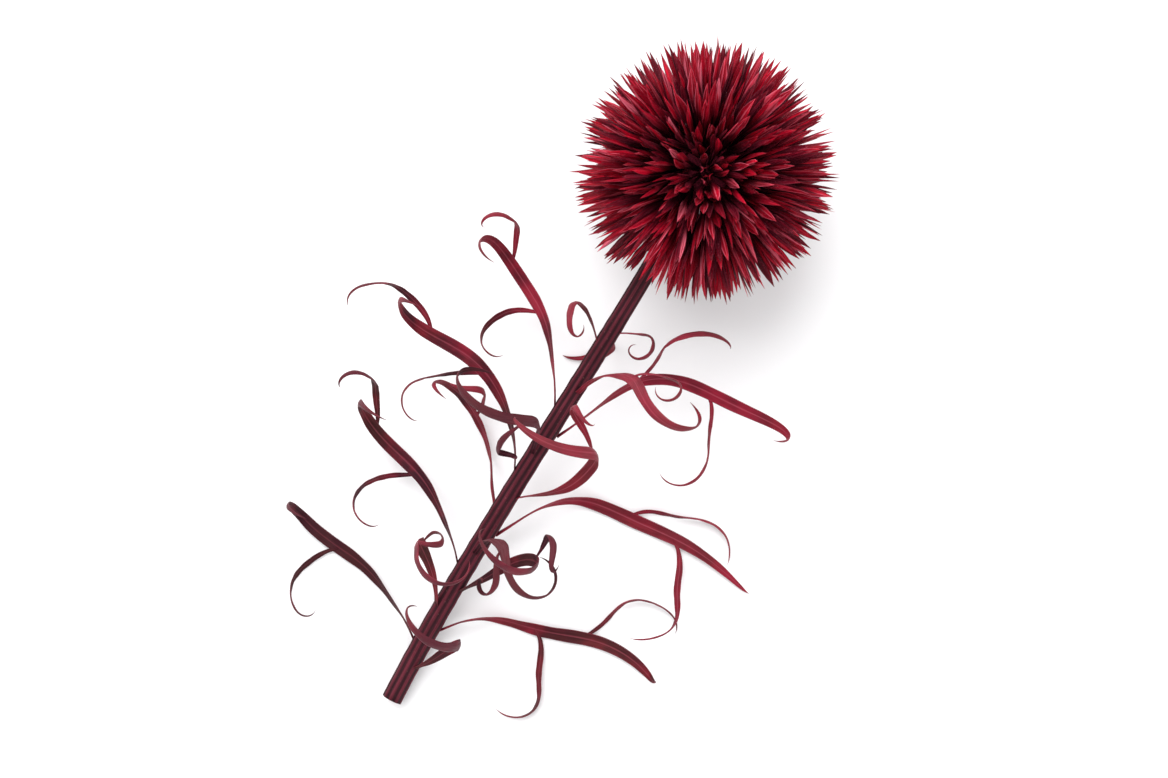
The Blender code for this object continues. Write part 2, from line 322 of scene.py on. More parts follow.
def fibre_group():
    """Streaks that run along a blade: a mask for colour and a height for bump."""
    wiring, given, out = new_group(
        "Plant Fibre",
        "ShaderNodeTree",
        (
            ("Across", "Float", 0.0),
            ("Along", "Float", 0.0),
            ("Tone", "Float", 0.0),
            ("Fibres", "Float", 8.0),
            ("Wander", "Float", 1.5),
        ),
        (("Mask", "Float"), ("Height", "Float")),
    )
    place = wiring.combined(
        wiring.times(given["Across"], given["Fibres"]),
        wiring.times(given["Along"], given["Wander"]),
        wiring.times(given["Tone"], TONE_SPREAD),
    )
    broad = wiring.add("ShaderNodeTexNoise", {"Vector": place, "Scale": 1.0, "Detail": 2.0})
    fine = wiring.add("ShaderNodeTexNoise", {"Vector": place, "Scale": 2.7, "Detail": 1.0})
    height = wiring.math("MULTIPLY_ADD", fine.outputs[0], 0.4, wiring.times(broad.outputs[0], 0.6))
    wiring.feed(out["Mask"], wiring.step(height, 0.36, 0.62))
    wiring.feed(out["Height"], height)
    return wiring.tree


def mottle_group():
    """Uneven uptake of dye: soft patches in Object space."""
    wiring, given, out = new_group(
        "Dye Mottle",
        "ShaderNodeTree",
        (("Patch Size", "Float", 0.004), ("Tone", "Float", 0.0)),
        (("Mask", "Float"),),
    )
    place = wiring.add("ShaderNodeTexCoord").outputs["Object"]
    apart = wiring.vector("ADD", place, wiring.times(given["Tone"], 0.3))
    scale = wiring.math("DIVIDE", 1.0, given["Patch Size"])
    noise = wiring.add(
        "ShaderNodeTexNoise", {"Vector": apart, "Scale": scale, "Detail": 3.0, "Roughness": 0.6}
    )
    wiring.feed(out["Mask"], wiring.step(noise.outputs[0], 0.35, 0.68))
    return wiring.tree


def fibre(wiring, across, along, tone, fibres, wander):
    """Streaks along a blade, as a mask and as a height."""
    values = {"Across": across, "Along": along, "Tone": tone, "Fibres": fibres, "Wander": wander}
    streaks = shared(wiring, "Plant Fibre", fibre_group, values)
    return streaks["Mask"], streaks["Height"]


def mottle(wiring, patch_size, tone):
    """Soft patches of about that size, other ones for each tone."""
    values = {"Patch Size": patch_size, "Tone": tone}
    return shared(wiring, "Dye Mottle", mottle_group, values)["Mask"]


def grain(wiring, size):
    """Fine specks in Object space."""
    place = wiring.add("ShaderNodeTexCoord").outputs["Object"]
    noise = wiring.add("ShaderNodeTexNoise", {"Vector": place, "Scale": 1.0 / size, "Detail": 1.0})
    return noise.outputs[0]


# ---------------------------------------------------------------------------- materials

BRACT_PATCH = 0.0030  # sizes of the patches and specks in the dye
# The next size is that of the painted glints on the bracts
PAINTED_GLINT_SIZE = 0.00016
STEM_PATCH = 0.006
STEM_SPECK = 0.00030
LEAF_PATCH = 0.009
AGED_PATCH = 0.014
SCALES_PER_METRE = 2600.0  # chaffy scales on the ground of the head


def new_material(name, **plain):
    """A material with its wiring and shader. plain holds what is the same all over it."""
    made = bpy.data.materials.new(name)
    made.use_nodes = True
    shader = made.node_tree.nodes["Principled BSDF"]
    for socket, value in plain.items():
        shader.inputs[socket.replace("_", " ")].default_value = value
    return made, Wiring(made.node_tree), shader.inputs


def attribute(wiring, name):
    """The value that the mesh holds under that name."""
    return wiring.add("ShaderNodeAttribute", attribute_name=name).outputs["Fac"]


def bump(wiring, height, depth, strength=1.0):
    """The normals of a surface with that height, scaled to depth."""
    node = wiring.add("ShaderNodeBump", {"Height": height, "Distance": depth, "Strength": strength})
    return node.outputs["Normal"]


def surface(wiring, shader, tint, height, smooth, rough, depth, strength=1.0):
    """Gives the shader its colour, and a roughness and a bump that follow the fibres."""
    wiring.feed(shader["Base Color"], tint)
    wiring.feed(shader["Roughness"], wiring.step(height, 0.3, 0.7, smooth, rough))
    wiring.feed(shader["Normal"], bump(wiring, height, depth, strength))


def darkened(wiring, tint, *shares):
    """The colour times a share of red, green and blue."""
    return wiring.blend(1.0, tint, (*shares, 1), way="MULTIPLY")


def bract_material(head):
    """Dry dyed bract: near-black stalk, crimson blade with fine fibres and paper-thin margins, with
    painted shade deep in the head, down one half and on some margins, and painted highlights and glints.
    """
    made, wiring, shader = new_material("bract_blade", Specular_IOR_Level=0.10)
    along, across, tone = (attribute(wiring, name) for name in ("along", "across", "tone"))
    off_middle = wiring.math("ABSOLUTE", across)
    # From the foot to the tip: the stalk's own near-black, made darker still as painted shade deep in the
    # head, then dusk, wine and crimson; dull blades stay darker
    live = wiring.ramp(
        along,
        (0.20, head.foot),
        (0.40, head.dusk),
        (0.56, head.wine),
        (0.72, head.crimson),
        (0.96, head.crimson),
    )
    dull = wiring.ramp(along, (0.25, head.foot), (0.70, head.dusk), (1.0, head.wine))
    tint = wiring.blend(wiring.step(tone, 0.50, 0.80, 0.0, 0.90), live, dull)

    # Darker between the fibres and in patches of dye; darker down one half as painted shade on the far
    # side of the fold, and along the margins of some blades as painted shadow between the blades
    streak, height = fibre(wiring, across, along, tone, fibres=2.3, wander=1.6)
    deep = darkened(wiring, tint, 0.20, 0.18, 0.24)
    tint = wiring.blend(wiring.times(streak, 0.78), deep, tint)
    tint = wiring.blend(wiring.times(mottle(wiring, BRACT_PATCH, tone), 0.35), tint, deep)
    painted_shade_half = wiring.times(across, wiring.math("SINE", wiring.times(tone, 90.0)))
    tint = wiring.blend(wiring.step(painted_shade_half, -0.30, 0.15, 0.55, 0.0), tint, deep)
    # Painted shadow: the margins of some blades are darkened as if shaded by their neighbours
    margin = wiring.step(off_middle, 0.55, 0.95)
    shaded = wiring.times(margin, wiring.step(tone, 0.30, 0.40, 0.0, 0.75))
    tint = wiring.blend(shaded, tint, deep)

    # Paler along the edges, partly paper-thin margins and partly painted highlights, and as a painted
    # highlight along the keel of some blades; pale over the upper part of a few blades, partly from
    # bleaching and partly as painted glints; and in a fine speckle of painted glints
    # Edges: paper-thin margins that also carry a painted highlight; keel: a painted highlight line
    edge = wiring.step(off_middle, 0.66, 1.0, 0.0, 0.75)
    keel = wiring.step(off_middle, 0.0, 0.34, 0.55, 0.0)
    line = wiring.times(wiring.math("MAXIMUM", edge, keel), wiring.step(tone, 0.42, 0.16, 0.12, 1.0))
    # A few blades pale all over their upper part, partly from bleaching and partly as painted glints
    bleached_and_glinting = wiring.step(tone, 0.0, 0.10, 0.75, 0.0)
    margin_and_highlight = wiring.math("MAXIMUM", line, bleached_and_glinting)
    margin_and_highlight = wiring.times(margin_and_highlight, wiring.step(along, 0.48, 0.72), streak)
    # Painted glints: a fine speckle of pale pink over the upper blades
    painted_glints = wiring.step(grain(wiring, PAINTED_GLINT_SIZE), 0.58, 0.78, 0.0, 0.26)
    painted_glints = wiring.times(painted_glints, wiring.step(along, 0.35, 0.70))
    tint = wiring.blend(wiring.math("MAXIMUM", margin_and_highlight, painted_glints), tint, (*head.dusty, 1))
    surface(wiring, shader, tint, height, smooth=0.26, rough=0.52, depth=0.00022)
    return made


def hair_material(head):
    """Fine hairs between the bracts, dark below and dusty red at their ends."""
    made, wiring, shader = new_material("bract_hair", Roughness=0.5)
    along, tone = attribute(wiring, "along"), attribute(wiring, "tone")
    tint = wiring.ramp(along, (0.15, head.foot), (0.70, head.wine), (1.0, head.crimson))
    pale = wiring.blend(0.5, tint, (*head.dusty, 1))
    wiring.feed(shader["Base Color"], wiring.blend(wiring.step(tone, 0.5, 1.0, 0.0, 0.7), tint, pale))
    return made


def base_material(head):
    """The chaffy, near-black ground that the bracts grow from."""
    made, wiring, shader = new_material("floret_base", Roughness=0.95, Specular_IOR_Level=0.05)
    place = wiring.add("ShaderNodeTexCoord").outputs["Object"]
    voronoi = wiring.add("ShaderNodeTexVoronoi", {"Vector": place, "Scale": SCALES_PER_METRE})
    scales = voronoi.outputs["Distance"]
    wiring.feed(shader["Base Color"], wiring.ramp(scales, (0.1, head.foot), (0.9, head.dusk)))
    wiring.feed(shader["Normal"], bump(wiring, scales, 0.0002))
    return made


def stem_material(settings):
    """Dry ribbed stem: grooves darkened as painted shade, ridges paler as a painted highlight, fibres
    along it and a pale pith at the cut.
    """
    made, wiring, shader = new_material("stem_skin", Specular_IOR_Level=0.12)
    along, ridge, across = (attribute(wiring, name) for name in ("along", "ridge", "across"))
    through = attribute(wiring, "through")
    fibres = 10.0
    depth = wiring.times(through, fibres / TONE_SPREAD)  # as fine through the stem as across it
    streak, height = fibre(wiring, across, along, depth, fibres, wander=9.0)
    patch = mottle(wiring, STEM_PATCH, 0.0)
    # Painted shade in the grooves between the ribs and a painted highlight along the ridges
    tint = wiring.ramp(ridge, (0.10, settings.groove), (0.95, settings.ridge), smooth=True)
    dark = darkened(wiring, tint, 0.45, 0.40, 0.42)
    tint = wiring.blend(wiring.times(streak, 0.75), tint, dark)
    tint = wiring.blend(wiring.times(patch, 0.55), tint, dark)
    speck = wiring.step(grain(wiring, STEM_SPECK), 0.68, 0.82, 0.0, 0.18)
    tint = wiring.blend(speck, tint, (*settings.pith, 1))
    squares = wiring.math("ADD", wiring.math("POWER", across, 2.0), wiring.math("POWER", through, 2.0))
    inside = wiring.step(wiring.math("SQRT", squares), 0.70, 0.97, 1.0, 0.0)
    tint = wiring.blend(inside, tint, (*settings.pith, 1))
    surface(wiring, shader, tint, height, smooth=0.50, rough=0.72, depth=0.00016, strength=0.9)
    return made


def leaf_material(settings):
    """Dry dyed leaf: plum to maroon, parallel veins, a paler midrib and margins."""
    made, wiring, shader = new_material("leaf_skin", Specular_IOR_Level=0.11)
    along, across, through, tone = (
        attribute(wiring, name) for name in ("along", "across", "through", "tone")
    )
    off_middle = wiring.math("ABSOLUTE", across)
    streak, height = fibre(wiring, across, along, tone, fibres=4.5, wander=9.0)
    patch = mottle(wiring, LEAF_PATCH, tone)
    bright = wiring.step(wiring.math("MULTIPLY_ADD", patch, 0.70, tone), 0.45, 1.35)
    tint = wiring.blend(bright, (*settings.plum, 1), (*settings.maroon, 1))
    aged = mottle(wiring, AGED_PATCH, wiring.math("ADD", tone, 0.5))
    tint = wiring.blend(wiring.times(aged, 0.45), tint, (*settings.bronze, 1))
    dark = darkened(wiring, tint, 0.50, 0.42, 0.45)
    tint = wiring.blend(wiring.times(streak, 0.55), tint, dark)
    edge = wiring.step(off_middle, 0.80, 1.0)
    midrib = wiring.step(off_middle, 0.0, 0.16, 1.0, 0.0)
    pale = wiring.math("MAXIMUM", edge, midrib)
    pale = wiring.times(pale, wiring.math("MULTIPLY_ADD", tone, 0.35, 0.15))
    under = wiring.step(through, -0.3, 0.1, 0.16, 0.0)
    tint = wiring.blend(wiring.math("MAXIMUM", pale, under), tint, (*settings.vein, 1))
    surface(wiring, shader, tint, height, smooth=0.42, rough=0.66, depth=0.00014, strength=0.8)
    return made


# ------------------------------------------------------------------- geometry node trees


def profile(wiring, factor, points):
    """A smooth curve through points, read at factor."""
    node = wiring.add("ShaderNodeFloatCurve", {"Value": factor})
    curve = node.mapping.curves[0]
    while len(curve.points) < len(points):
        curve.points.new(0.5, 0.5)
    for point, (place, height) in zip(curve.points, points):
        point.location = (place, height)
    node.mapping.update()
    return node.outputs[0]


def named(wiring, name, kind="FLOAT"):
    """The attribute of that name."""
    node = wiring.add("GeometryNodeInputNamedAttribute", {"Name": name}, data_type=kind)
    return find(node.outputs, "Attribute")


def store(wiring, geometry, name, value, kind="FLOAT", domain="POINT"):
    """The geometry with the value in an attribute of that name."""
    node = wiring.add(
        "GeometryNodeStoreNamedAttribute",
        {"Geometry": geometry, "Name": name, "Value": value},
        data_type=kind,
        domain=domain,
    )
    return node.outputs["Geometry"]


def chance(wiring, seed, low, high, kind="FLOAT"):
    """A random value between low and high for each point."""
    values = {"Min": low, "Max": high, "Seed": seed}
    return find(wiring.add("FunctionNodeRandomValue", values, data_type=kind).outputs, "Value")


def picked(wiring, points, kind):
    """The points of that kind."""
    alike = wiring.add(
        "FunctionNodeCompare",
        {"A": named(wiring, "kind", "INT"), "B": kind},
        data_type="INT",
        operation="EQUAL",
    ).outputs["Result"]
    node = wiring.add("GeometryNodeSeparateGeometry", {"Geometry": points, "Selection": alike})
    return node.outputs["Selection"]


def on_points(wiring, points, shape, **values):
    """An instance of the shape on each point."""
    values = {"Points": points, "Instance": shape, **values}
    return wiring.add("GeometryNodeInstanceOnPoints", values).outputs[0]


def realized(wiring, shape):
    """The shape with a real copy in place of each instance."""
    return wiring.add("GeometryNodeRealizeInstances", {0: shape}).outputs[0]


def put(wiring, shape, places):
    """The shape with its points at their places."""
    values = {"Geometry": shape, "Position": places}
    return wiring.add("GeometryNodeSetPosition", values).outputs[0]


def finished(wiring, shape, material):
    """The shape made smooth and real, in its material."""
    smooth = wiring.add("GeometryNodeSetShadeSmooth", {"Geometry": shape}).outputs[0]
    values = {"Geometry": realized(wiring, smooth), "Material": material}
    return wiring.add("GeometryNodeSetMaterial", values).outputs[0]


def round_tube(wiring, sides, segments, ends):
    """A closed tube of radius 1 that remembers how far along, across and through it each point is."""
    tube = wiring.add(
        "GeometryNodeMeshCylinder",
        {"Vertices": sides, "Side Segments": segments, "Radius": 1.0, "Depth": 1.0},
        fill_type=ends,
    )
    parts = wiring.parts(wiring.add("GeometryNodeInputPosition").outputs[0])
    mesh = store(wiring, tube.outputs["Mesh"], "along", wiring.math("ADD", parts["Z"], 0.5))
    mesh = store(wiring, mesh, "across", parts["X"])
    mesh = store(wiring, mesh, "through", parts["Y"])
    return store(wiring, mesh, "wrap", tube.outputs["UV Map"], "FLOAT_VECTOR", "CORNER")


def unrolled(wiring):
    """The tube's wall laid out flat over the whole map, with its two ends below it."""
    wrap = wiring.parts(named(wiring, "wrap", "FLOAT_VECTOR"))
    wall = wiring.math("MAXIMUM", wiring.math("SUBTRACT", wrap["Y"], 0.5), 0.0)
    ends = wiring.times(wiring.math("MINIMUM", wrap["Y"], 0.5), 0.09)
    return wrap["X"], wiring.math("MULTIPLY_ADD", wall, 1.9, ends)


def mapped(wiring, shape, column, row):
    """The shape with its own map, for what is painted on it."""
    return store(wiring, shape, "OFBake", wiring.combined(column, row), "FLOAT2", "CORNER")


# A blade's half width and depth, each a share of the largest, from its foot to its tip
BLADE_WIDTH_PROFILE = (
    (0.0, 0.24),
    (0.30, 0.28),
    (0.50, 0.60),
    (0.66, 1.0),
    (0.82, 0.74),
    (0.93, 0.34),
    (1.0, 0.03),
)
BLADE_DEPTH_PROFILE = ((0.0, 1.0), (0.45, 0.90), (0.75, 0.70), (1.0, 0.06))
BREADTHS = (0.62, 1.22)  # of a narrow blade and of a broad one
FULLNESSES = (0.78, 1.40)  # low where a blade is widest nearer its foot, high nearer its tip
RAGGEDNESS = (0.84, 1.10)  # how far a margin goes in and out
CELL_MARGIN = 0.04  # round each blade's cell in the map
BRACT_MAP_ROWS = 3
BRACT_MAP_END = 0.88  # where the bracts' part of the map ends and the hairs' part starts
HAIR_MAP_END = 0.94
BASE_MAP_START = 0.945
BRACT, HAIR, BASE = range(3)  # the kinds of point in a floret


def blades_group():
    """Closed blades on points. Each point's heading, side and reach say where its blade grows."""
    wiring, given, out = new_group(
        "Blades on Points",
        "GeometryNodeTree",
        (
            ("Points", "Geometry", None),
            ("Sides", "Int", 8),
            ("Segments", "Int", 7),
            ("Width", "Float", 0.0016),
            ("Thickness", "Float", 0.00026),
            ("Plainness", "Float", 0.0),
            ("Keel", "Float", 0.50),
            ("Bend", "Float", 0.08),
            ("Twist", "Float", 0.5),
            ("Spin", "Float", 0.8),
            ("Map Start", "Float", 0.0),
            ("Map End", "Float", 1.0),
            ("Map Rows", "Int", 1),
            ("Surface Height", "Float", 0.0),
            ("Seed", "Int", 0),
        ),
        (("Blades", "Geometry"),),
    )
    blade = round_tube(wiring, given["Sides"], given["Segments"], "NGON")
    blade = store(wiring, blade, "along", wiring.math("POWER", named(wiring, "along"), 0.8))
    points = given["Points"]

    # Each point's cell in the map, its foot, and what makes its blade unlike the others
    size = wiring.add("GeometryNodeAttributeDomainSize", {"Geometry": points})
    number = wiring.add("GeometryNodeInputIndex").outputs[0]
    columns = wiring.math("CEIL", wiring.math("DIVIDE", size.outputs["Point Count"], given["Map Rows"]))
    line = wiring.math("FLOOR", wiring.math("DIVIDE", number, columns))
    column = wiring.math("SUBTRACT", number, wiring.times(line, columns))
    cell = wiring.combined(column, line, columns)
    here = wiring.add("GeometryNodeInputPosition").outputs[0]
    seeds = [wiring.math("ADD", given["Seed"], i) for i in range(6)]
    spins = (wiring.times(given["Spin"], -1.0), given["Spin"])
    points = store(wiring, points, "cell", cell, "FLOAT_VECTOR")
    points = store(wiring, points, "foot", here, "FLOAT_VECTOR")
    points = store(wiring, points, "tone", chance(wiring, seeds[0], 0.0, 1.0))
    points = store(wiring, points, "spin", chance(wiring, seeds[1], *spins))
    points = store(wiring, points, "breadth", chance(wiring, seeds[2], *BREADTHS))
    points = store(wiring, points, "fullness", chance(wiring, seeds[4], *FULLNESSES))
    habit = chance(wiring, seeds[3], (-1,) * 3, (1,) * 3, "FLOAT_VECTOR")
    points = store(wiring, points, "habit", habit, "FLOAT_VECTOR")
    real = realized(wiring, on_points(wiring, points, blade))

    # Its two directions square to its heading, turned a little and twisted
    heading, side = named(wiring, "heading", "FLOAT_VECTOR"), named(wiring, "side", "FLOAT_VECTOR")
    along, across, through = (named(wiring, name) for name in ("along", "across", "through"))
    reach = named(wiring, "reach")
    habits = wiring.parts(named(wiring, "habit", "FLOAT_VECTOR"))
    twist = wiring.times(habits["Z"], given["Twist"], along)
    turn = wiring.math("ADD", named(wiring, "spin"), twist)
    wide = wiring.add(
        "ShaderNodeVectorRotate", {"Vector": side, "Axis": heading, "Angle": turn}
    ).outputs[0]
    deep = wiring.vector("CROSS_PRODUCT", heading, wide)

    # Its section: width and thickness along it, with the margins raised over the middle
    off_middle = wiring.math("ABSOLUTE", across)
    taper = wiring.math("SUBTRACT", 1.02, wiring.math("POWER", along, 2.0))
    swell = wiring.math("POWER", along, named(wiring, "fullness"))
    outline = profile(wiring, swell, BLADE_WIDTH_PROFILE)
    outline = wiring.blend(given["Plainness"], outline, taper, "FLOAT")
    depth = profile(wiring, along, BLADE_DEPTH_PROFILE)
    depth = wiring.blend(given["Plainness"], depth, taper, "FLOAT")
    half = wiring.times(given["Width"], 0.5, outline, named(wiring, "breadth"))
    half = wiring.times(half, chance(wiring, seeds[5], *RAGGEDNESS))
    keel = wiring.times(half, given["Keel"], off_middle)
    rise = wiring.times(given["Thickness"], 0.5, depth)
    rise = wiring.math("MULTIPLY_ADD", rise, through, keel)

    # Its middle line, bent to one side, and every point's place, never below the surface
    bow = wiring.times(wiring.math("POWER", along, 2.0), reach, given["Bend"])
    foot = named(wiring, "foot", "FLOAT_VECTOR")
    middle = wiring.moved(foot, heading, wiring.times(along, reach))
    middle = wiring.moved(middle, wide, wiring.times(bow, habits["X"]))
    middle = wiring.moved(middle, deep, wiring.times(bow, habits["Y"]))
    place = wiring.moved(middle, wide, wiring.times(half, across))
    spots = wiring.parts(wiring.moved(place, deep, rise))
    height = wiring.math("MAXIMUM", spots["Z"], given["Surface Height"])
    kept = wiring.combined(spots["X"], spots["Y"], height)
    real = put(wiring, real, kept)

    span = wiring.math("SUBTRACT", given["Map End"], given["Map Start"])
    cell = wiring.parts(named(wiring, "cell", "FLOAT_VECTOR"))
    column, line = (
        wiring.math("MULTIPLY_ADD", part, 1 - 2 * CELL_MARGIN, CELL_MARGIN) for part in unrolled(wiring)
    )
    column = wiring.math("DIVIDE", wiring.math("ADD", cell["X"], column), cell["Z"])
    column = wiring.math("MULTIPLY_ADD", column, span, given["Map Start"])
    line = wiring.math("DIVIDE", wiring.math("ADD", cell["Y"], line), given["Map Rows"])
    real = mapped(wiring, real, column, line)
    rim = wiring.math("GREATER_THAN", off_middle, 0.98)
    wiring.feed(out["Blades"], store(wiring, real, "sharp_edge", rim, "BOOLEAN", "EDGE"))
    return wiring.tree


def floret_tree():
    """One floret: its rounded base, its tuft of bracts and a few fine hairs."""
    wiring, given, out = new_group(
        "Floret",
        "GeometryNodeTree",
        (
            ("Points", "Geometry", None),
            ("Bract Width", "Float", 0.0016),
            ("Bract Thickness", "Float", 0.00026),
            ("Hair Width", "Float", 0.00012),
            ("Base Radius", "Float", 0.0012),
            ("Seed", "Int", 0),
            ("Bract Material", "Material", None),
            ("Hair Material", "Material", None),
            ("Base Material", "Material", None),
        ),
        (("Floret", "Geometry"),),
    )
    bracts = {
        "Width": given["Bract Width"],
        "Thickness": given["Bract Thickness"],
        "Map End": BRACT_MAP_END,
        "Map Rows": BRACT_MAP_ROWS,
    }
    hairs = {
        "Sides": 3,
        "Segments": 4,
        "Width": given["Hair Width"],
        "Thickness": given["Hair Width"],
        "Plainness": 1.0,
        "Keel": 0.0,
        "Bend": 0.22,
        "Map Start": BRACT_MAP_END,
        "Map End": HAIR_MAP_END,
    }
    tuft = wiring.add("GeometryNodeJoinGeometry")
    for kind, values, material in (
        (BRACT, bracts, given["Bract Material"]),
        (HAIR, hairs, given["Hair Material"]),
    ):
        values["Points"] = picked(wiring, given["Points"], kind)
        values["Seed"] = wiring.math("ADD", given["Seed"], 100 * kind)
        blades = shared(wiring, "Blades on Points", blades_group, values, "GeometryNodeGroup")
        wiring.feed(tuft.inputs[0], finished(wiring, blades[0], material))
    wiring.feed(tuft.inputs[0], floret_base(wiring, given))
    wiring.feed(out["Floret"], tuft.outputs[0])
    return wiring.tree


def floret_base(wiring, given):
    """The rounded cup under the tuft, squashed along the floret's middle line."""
    ball = wiring.add(
        "GeometryNodeMeshUVSphere", {"Segments": 12, "Rings": 7, "Radius": given["Base Radius"]}
    )
    corner = (BASE_MAP_START, 0.02, 0)
    wrap = wiring.vector("MULTIPLY_ADD", ball.outputs["UV Map"], (0.05, 0.95, 0), corner)
    cup = store(wiring, ball.outputs["Mesh"], "OFBake", wrap, "FLOAT2", "CORNER")
    heading = named(wiring, "heading", "FLOAT_VECTOR")
    turned = wiring.add("FunctionNodeAlignRotationToVector", {"Vector": heading}, axis="Z").outputs[0]
    point = picked(wiring, given["Points"], BASE)
    placed = on_points(wiring, point, cup, Rotation=turned, Scale=(1.0, 1.0, 0.8))
    return finished(wiring, placed, given["Base Material"])


def at_station(wiring, given, along):
    """The spine's centre, two directions and half width, each at the station of each point."""
    station = wiring.math("ROUND", wiring.times(along, given["Segments"]))
    here = wiring.add("GeometryNodeInputPosition").outputs[0]
    values = []
    for value, kind in (
        (here, "FLOAT_VECTOR"),
        (named(wiring, "wide", "FLOAT_VECTOR"), "FLOAT_VECTOR"),
        (named(wiring, "deep", "FLOAT_VECTOR"), "FLOAT_VECTOR"),
        (named(wiring, "half"), "FLOAT"),
    ):
        node = wiring.add(
            "GeometryNodeSampleIndex",
            {"Geometry": given["Spine"], "Value": value, "Index": station},
            data_type=kind,
            domain="POINT",
        )
        values.append(node.outputs["Value"])
    return values


def ribbon_tree():
    """A leaf: a thin channelled section that follows a spine."""
    wiring, given, out = new_group(
        "Ribbon Leaf",
        "GeometryNodeTree",
        (
            ("Spine", "Geometry", None),
            ("Sides", "Int", 12),
            ("Segments", "Int", 90),
            ("Thickness", "Float", 0.00026),
            ("Channel", "Float", 0.16),
            ("Ripple", "Float", 0.05),
            ("Tone", "Float", 0.5),
            ("Map Start", "Float", 0.0),
            ("Map End", "Float", 1.0),
            ("Material", "Material", None),
        ),
        (("Leaf", "Geometry"),),
    )
    tube = round_tube(wiring, given["Sides"], given["Segments"], "NGON")
    along, across, through = (named(wiring, name) for name in ("along", "across", "through"))
    centre, wide, deep, half = at_station(wiring, given, along)
    edge = wiring.math("ABSOLUTE", across)
    fold = wiring.times(half, given["Channel"], wiring.math("POWER", edge, 1.6))
    phase = wiring.math("MULTIPLY_ADD", along, 47.0, wiring.times(across, 1.7))
    wave = wiring.times(wiring.math("SINE", phase), wiring.math("POWER", edge, 2.0), given["Ripple"])
    fold = wiring.math("MULTIPLY_ADD", wave, half, fold)
    thin = wiring.math("MINIMUM", wiring.times(given["Thickness"], 0.5), wiring.times(half, 0.6))
    rise = wiring.math("MULTIPLY_ADD", thin, through, fold)
    place = wiring.moved(centre, wide, wiring.times(half, across))
    leaf = put(wiring, tube, wiring.moved(place, deep, rise))
    leaf = store(wiring, leaf, "tone", given["Tone"])
    span = wiring.math("SUBTRACT", given["Map End"], given["Map Start"])
    column, row = unrolled(wiring)
    column = wiring.math("MULTIPLY_ADD", column, span, given["Map Start"])
    leaf = mapped(wiring, leaf, column, row)
    wiring.feed(out["Leaf"], finished(wiring, leaf, given["Material"]))
    return wiring.tree


def ribbed_stem_tree():
    """The stem: a ribbed round section that follows a spine, closed at its cut end."""
    wiring, given, out = new_group(
        "Ribbed Stem",
        "GeometryNodeTree",
        (
            ("Spine", "Geometry", None),
            ("Ribs", "Int", 9),
            ("Segments", "Int", 80),
            ("Rib Depth", "Float", 0.00024),
            ("Material", "Material", None),
        ),
        (("Stem", "Geometry"),),
    )
    sides = wiring.times(given["Ribs"], 8.0)
    tube = round_tube(wiring, sides, given["Segments"], "TRIANGLE_FAN")
    along, across, through = (named(wiring, name) for name in ("along", "across", "through"))
    centre, wide, deep, half = at_station(wiring, given, along)
    angle = wiring.math("ARCTAN2", through, across)
    drift = wiring.times(wiring.math("SINE", wiring.times(along, 5.0)), 0.5)
    rib = wiring.math("COSINE", wiring.math("MULTIPLY_ADD", angle, given["Ribs"], drift))
    rib = wiring.math("MULTIPLY_ADD", rib, 0.5, 0.5)
    tube = store(wiring, tube, "ridge", rib)
    uneven = wiring.math("SINE", wiring.times(angle, 2.0))
    uneven = wiring.math("MULTIPLY_ADD", uneven, 0.3, 0.8)
    groove = wiring.times(wiring.math("SUBTRACT", 1.0, wiring.math("POWER", rib, 0.7)), uneven)
    radius = wiring.math("SUBTRACT", half, wiring.times(groove, given["Rib Depth"]))
    offset = wiring.moved(wiring.scaled(wide, across), deep, through)
    stem = put(wiring, tube, wiring.moved(centre, offset, radius))
    stem = mapped(wiring, stem, *unrolled(wiring))
    wiring.feed(out["Stem"], finished(wiring, stem, given["Material"]))
    return wiring.tree


FEWEST_FACES = 100  # of anything that a node tree grows


def grown(name, points, tree, values):
    """A plain mesh from a point mesh put through a geometry node tree."""
    source = bpy.data.objects.new(name, points)
    bpy.context.scene.collection.objects.link(source)
    modifier = source.modifiers.new("Growth", "NODES")
    modifier.node_group = tree
    for item in tree.interface.items_tree:
        if item.in_out == "INPUT" and item.name in values:
            modifier[item.identifier] = values[item.name]
    depsgraph = bpy.context.evaluated_depsgraph_get()
    mesh = bpy.data.meshes.new_from_object(
        source.evaluated_get(depsgraph), preserve_all_data_layers=True, depsgraph=depsgraph
    )
    source.modifiers.remove(modifier)
    bpy.data.objects.remove(source)
    bpy.data.meshes.remove(points)
    mesh.name = name
    require(len(mesh.polygons) > FEWEST_FACES, f"{name} didn't grow")
    return mesh


# --------------------------------------------------------------------------- placing


def placed_piece(name, mesh, slot, *nodes):
    """Puts a finished mesh in the scene, in place of the CAD nodes that it stands for."""
    piece = bpy.data.objects.new(name, mesh)
    bpy.context.scene.collection.objects.link(piece)
    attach(piece, "root")
    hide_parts(*nodes)
    return piece


def require(condition, message):
    """Stops the script with the message if the condition isn't met."""
    if not condition:
        raise RuntimeError(message)


def point_mesh(places, *attributes):
    """A mesh of points. Each attribute is a name, a kind and a value for each point."""
    mesh = bpy.data.meshes.new("points")
    mesh.from_pydata(places, [], [])
    for name, kind, values in attributes:
        key = "value"
        if kind == "FLOAT_VECTOR":
            key = "vector"
            values = [x for value in values for x in value]
        mesh.attributes.new(name, kind, "POINT").data.foreach_set(key, values)
    return mesh


